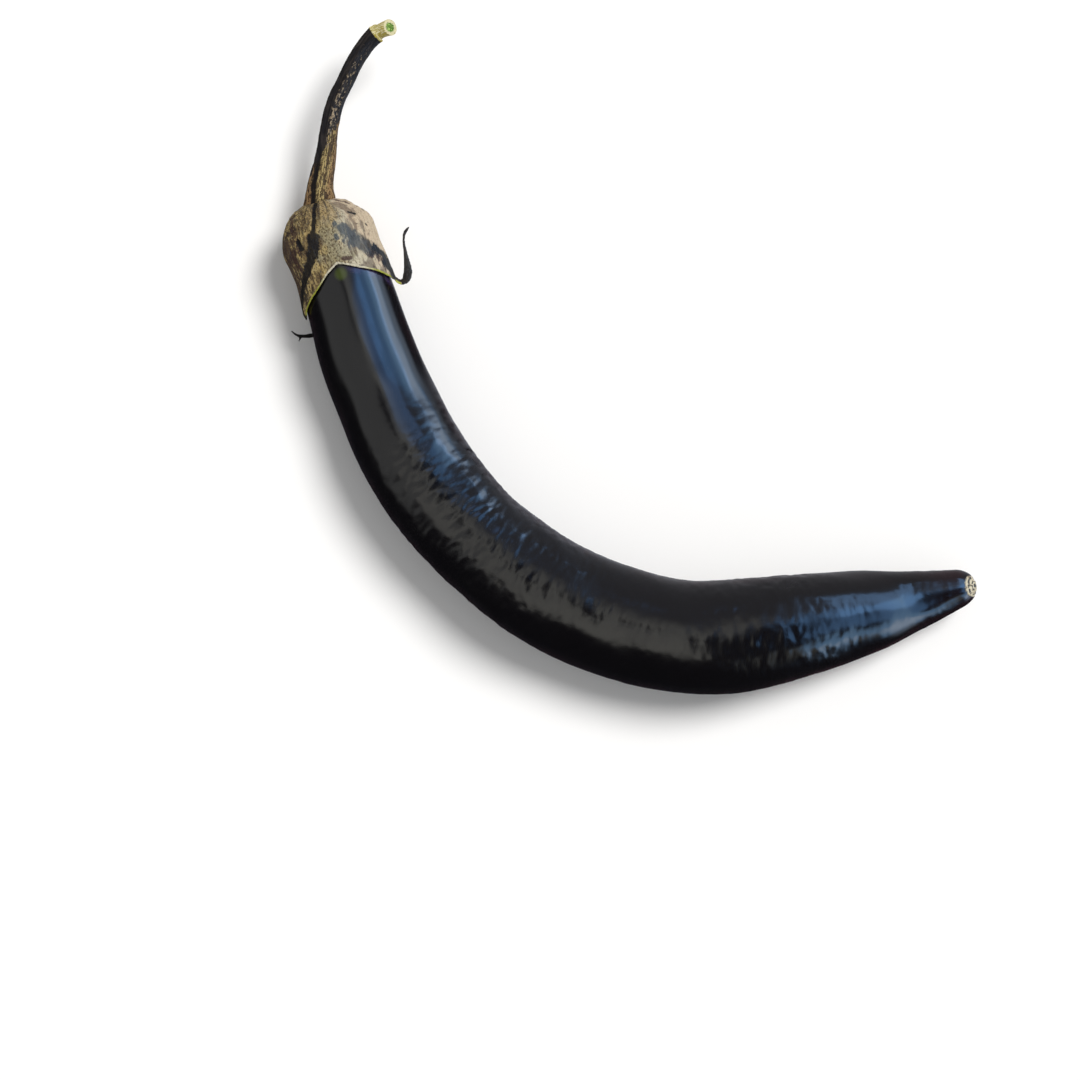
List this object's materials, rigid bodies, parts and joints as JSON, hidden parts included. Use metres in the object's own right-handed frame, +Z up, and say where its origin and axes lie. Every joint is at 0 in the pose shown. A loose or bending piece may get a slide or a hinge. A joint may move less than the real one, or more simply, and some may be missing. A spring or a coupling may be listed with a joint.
{
  "type": "eggplant",
  "caption": "Long curved eggplant lying on its side, with a dark glossy fruit, a dried lobed calyx round its neck and a bent, cut stem.",
  "frame": {"origin": "middle of the whole as seen from above, at the height of the surface it lies on", "axes": "+Z up from the surface, +X towards the blossom end, +Y towards the stem"},
  "size_m": [0.2304, 0.2218, 0.039],
  "materials": {
    "skin": "glossy near-black purple skin with fine wrinkles",
    "calyx": "dry tan leaf with dark stipple and streaks",
    "stem": "dull dark brown stalk with tan flecks and a pale green cut"
  },
  "bodies": {
    "root": {"fruit": "skin", "calyx": "calyx", "stem": "stem"}
  },
  "joints": []
}
